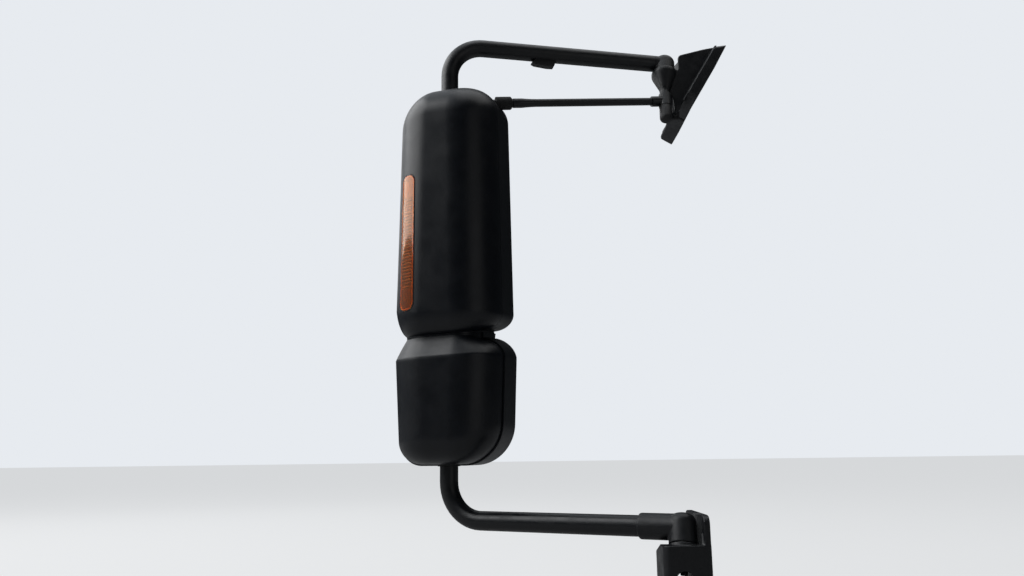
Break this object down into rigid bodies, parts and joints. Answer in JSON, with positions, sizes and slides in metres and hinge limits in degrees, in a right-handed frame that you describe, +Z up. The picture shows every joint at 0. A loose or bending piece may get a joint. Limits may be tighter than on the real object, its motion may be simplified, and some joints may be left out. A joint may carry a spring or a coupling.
{
  "type": "truck door mirror",
  "caption": "Kerb-side truck mirror on a hinged tube loop: waisted head with flat and convex glasses, marker lens, stay rod and cab brackets.",
  "frame": {"origin": "middle of the four door bolts, on the lower bracket's face on the door", "axes": "+X inboard, into the door; +Y to the truck's rear; +Z up"},
  "size_m": [0.7003, 0.574, 1.1364],
  "materials": {
    "bracket": "cast, satin black coat",
    "bolt": "zinc plated",
    "tube": "satin black powder coat",
    "cap": "moulded black",
    "shell": "fine grained black moulding",
    "bezel": "fine grained black moulding",
    "inner": "plain black moulding",
    "rubber": "matt black",
    "lens": "clear amber",
    "pin": "bright",
    "glass": "silvered glass"
  },
  "bodies": {
    "brackets": {"lower_bracket": "bracket", "lower_pivot_bolt": "bolt", "upper_bracket": "bracket", "upper_foot": "bracket", "upper_leg": "bracket", "upper_pivot_bolt": "bolt", "pivot_cap": "cap"},
    "arm": {"loop_tube": "tube", "lower_knuckle": "tube", "upper_knuckle": "tube", "arm_clip": "cap", "stay_rod": "tube", "stay_clamp": "tube", "stay_boot": "rubber", "front_shell": "shell", "lower_shell": "shell", "rear_bezel": "bezel", "lower_bezel": "bezel", "head_plate": "inner", "upper_collar": "rubber", "lower_collar": "rubber", "marker_lens": "lens", "lamp_housing": "inner", "main_actuator": "inner", "convex_actuator": "inner"},
    "main_swivel_body": {"main_swivel": "pin"},
    "main_mirror": {"main_holder": "inner", "main_glass": "glass"},
    "convex_swivel_body": {"convex_swivel": "pin"},
    "convex_mirror": {"convex_holder": "inner", "convex_glass": "glass"}
  },
  "joints": [
    {"name": "arm_fold", "type": "hinge", "parent": "brackets", "child": "arm", "pos_m": [-0.038, -0.0406, 0.0775], "axis": [0.0698, 0.3161, 0.9461], "range_deg": [-50, 70]},
    {"name": "main_pan", "type": "hinge", "parent": "arm", "child": "main_swivel_body", "pos_m": [-0.41312, 0.213, 0.693], "axis": [0, 0, 1], "range_deg": [-8, 8]},
    {"name": "main_tilt", "type": "hinge", "parent": "main_swivel_body", "child": "main_mirror", "pos_m": [-0.41312, 0.213, 0.693], "axis": [0.9455, -0.3256, 0], "range_deg": [-5, 5]},
    {"name": "convex_pan", "type": "hinge", "parent": "arm", "child": "convex_swivel_body", "pos_m": [-0.41312, 0.213, 0.283], "axis": [0, 0, 1], "range_deg": [-8, 8]},
    {"name": "convex_tilt", "type": "hinge", "parent": "convex_swivel_body", "child": "convex_mirror", "pos_m": [-0.41312, 0.213, 0.283], "axis": [0.9455, -0.3256, 0], "range_deg": [-5, 5]}
  ]
}
